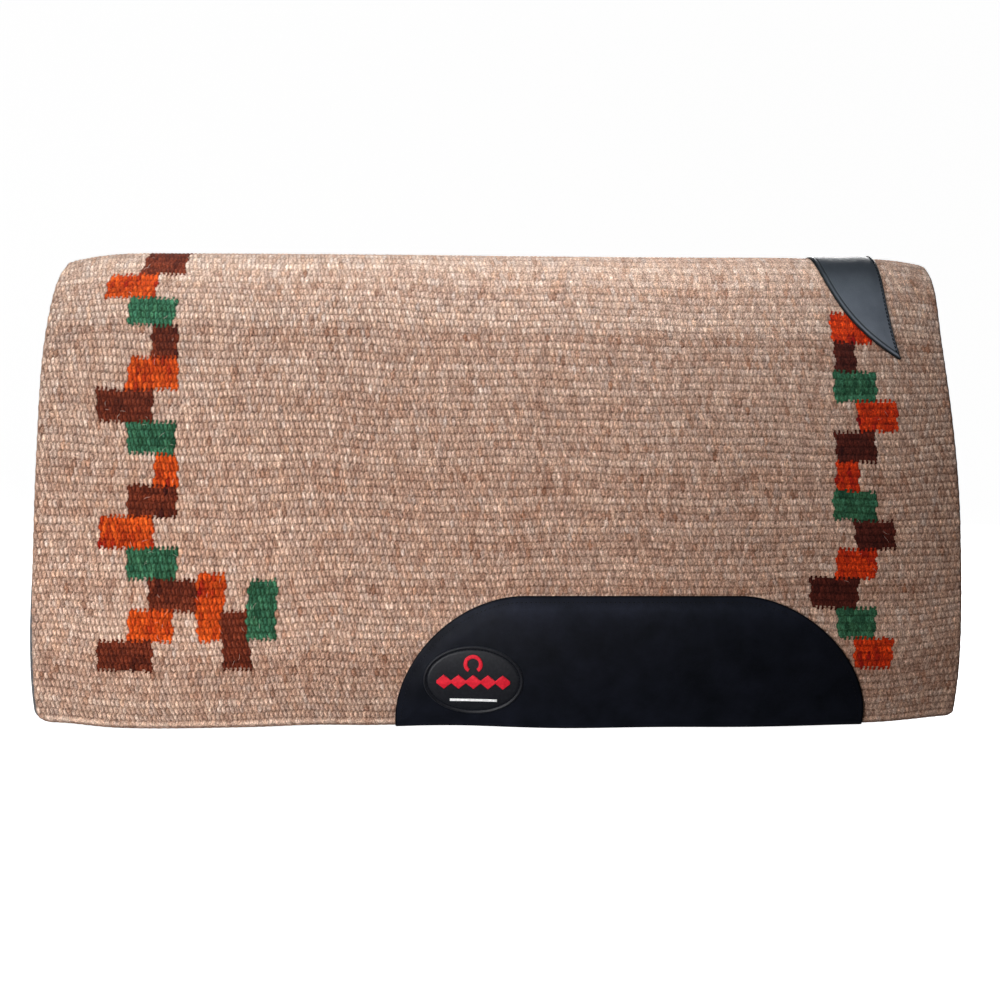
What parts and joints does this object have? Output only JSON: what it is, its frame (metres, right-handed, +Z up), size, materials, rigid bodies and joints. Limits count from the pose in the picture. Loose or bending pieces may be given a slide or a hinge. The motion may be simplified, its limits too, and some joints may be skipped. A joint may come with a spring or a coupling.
{
  "type": "saddle pad",
  "caption": "Folded western saddle pad with a woven top, felt backing, wither leather, wear leathers and an oval label.",
  "frame": {"origin": "on the standing surface, under the middle of the pad's bounding box", "axes": "+X forward to the withers along the spine, -Y to the near side, +Z up"},
  "size_m": [0.8382, 0.236, 0.4467],
  "materials": {
    "blanket": "woven wool",
    "felt": "needled felt",
    "wear_leather": "smooth black leather",
    "wither_leather": "matte oiled leather",
    "thread": "waxed thread",
    "label": "moulded rubber",
    "label_red": "moulded red rubber",
    "label_white": "moulded white rubber"
  },
  "bodies": {
    "off_side": {"off_felt": "felt", "off_blanket": "blanket", "off_wear_leather": "wear_leather", "off_wear_thread": "thread", "off_wither_leather": "wither_leather", "off_wither_thread": "thread"},
    "near_side": {"near_felt": "felt", "near_blanket": "blanket", "near_wear_leather": "wear_leather", "near_wear_thread": "thread", "near_wither_leather": "wither_leather", "near_wither_thread": "thread", "label_patch": "label", "label_emblem": "label_red", "label_diamonds": "label_red", "label_line": "label_white", "label_thread": "thread"}
  },
  "joints": [
    {"name": "spine_fold", "type": "hinge", "parent": "off_side", "child": "near_side", "pos_m": [0, 0, 0.4467], "axis": [-1, 0, 0], "range_deg": [-12, 40]}
  ]
}
